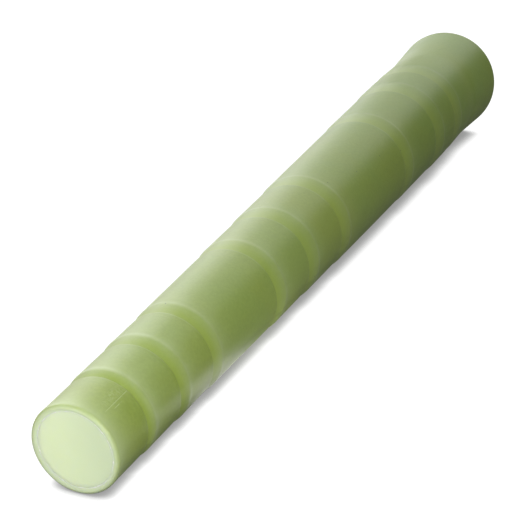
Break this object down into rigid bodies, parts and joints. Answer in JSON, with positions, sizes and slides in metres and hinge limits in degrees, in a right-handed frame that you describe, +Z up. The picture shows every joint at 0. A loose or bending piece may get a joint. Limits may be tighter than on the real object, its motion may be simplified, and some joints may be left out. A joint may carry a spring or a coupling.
{
  "type": "traffic baton light",
  "caption": "Tapered luminous baton light with shallow ring grooves, a bell-mouthed grip, a flat pale end disc, a lamp and battery cartridge inside, and a threaded tail cap with a push button.",
  "frame": {"origin": "middle of the footprint on the surface that the baton lies on, as wide and as long as the whole object", "axes": "+X towards the wand's tip as it lies, +Z up; the wand's own axis tips 2 degrees down towards +X"},
  "size_m": [0.2928, 0.0398, 0.0398],
  "materials": {
    "luminous_plastic": "frosted, slightly translucent",
    "end_disc_plastic": "frosted, translucent, paler",
    "white_plastic": "satin",
    "black_plastic": "fine matt texture",
    "rubber": "matt",
    "button_rubber": "matt",
    "aluminium": "turned satin",
    "mirror_coat": "vacuum-metallised",
    "clear_lens": "clear, polished",
    "circuit_board": "solder mask",
    "spring_steel": "bright drawn wire and plated screws",
    "brass": "plated satin",
    "cell_wrap": "plain shrink wrap",
    "led_resin": "clear dome over phosphor",
    "wire_sleeve": "extruded insulation"
  },
  "bodies": {
    "wand": {"wand_sleeve": "luminous_plastic", "tip_disc": "end_disc_plastic", "barrel": "white_plastic", "tail_seal": "rubber", "driver_board": "circuit_board", "driver_contact_spring": "spring_steel", "driver_inductor": "black_plastic", "driver_chip": "black_plastic", "driver_sense_resistor": "black_plastic", "heat_sink": "aluminium", "led_board": "circuit_board", "led_board_screw_1": "spring_steel", "led_board_screw_2": "spring_steel", "led_lead_1": "wire_sleeve", "led_lead_2": "wire_sleeve", "led_emitter": "led_resin", "reflector": "mirror_coat", "lens": "clear_lens", "lens_seal": "rubber", "lens_bezel": "white_plastic", "cartridge_rear_plate": "black_plastic", "cartridge_front_plate": "black_plastic", "cartridge_post_1": "black_plastic", "cartridge_post_2": "black_plastic", "cartridge_post_3": "black_plastic", "cartridge_screw_1": "spring_steel", "cartridge_screw_2": "spring_steel", "cartridge_screw_3": "spring_steel", "cartridge_front_terminal": "brass", "battery_cell_1": "cell_wrap", "battery_cell_2": "cell_wrap", "battery_cell_3": "cell_wrap", "cell_spring_1": "spring_steel", "cell_spring_2": "spring_steel", "cell_spring_3": "spring_steel", "cell_contact_1": "brass", "cell_contact_2": "brass", "cell_contact_3": "brass"},
    "tail_module": {"switch_gasket": "rubber", "switch_housing": "black_plastic", "contact_carrier": "black_plastic", "tail_contact_board": "circuit_board", "carrier_screw_1": "spring_steel", "carrier_screw_2": "spring_steel", "switch_pin_1": "brass", "switch_pin_2": "brass", "tail_spring": "spring_steel", "button_spring": "spring_steel"},
    "button": {"push_button": "button_rubber", "switch_plunger": "white_plastic", "contact_bridge": "brass"},
    "cap": {"tail_cap": "black_plastic", "module_clip": "spring_steel"}
  },
  "joints": [
    {"name": "tail_travel", "type": "slide", "parent": "wand", "child": "tail_module", "axis": [-0.9994, 0, 0.0345], "range_m": [0, 0.0036]},
    {"name": "cap_turn", "type": "hinge", "parent": "tail_module", "child": "cap", "pos_m": [-0.14174, 0, 0.01978], "axis": [-0.9994, 0, 0.0345], "range_deg": [0, 540]},
    {"name": "button_press", "type": "slide", "parent": "tail_module", "child": "button", "axis": [0.9994, 0, -0.0345], "range_m": [0, 0.0015], "stiffness_N_per_m": 1500}
  ],
  "couplings": [
    {"joint": "cap_turn", "follows": "tail_travel", "rad_per_m": 2618}
  ]
}
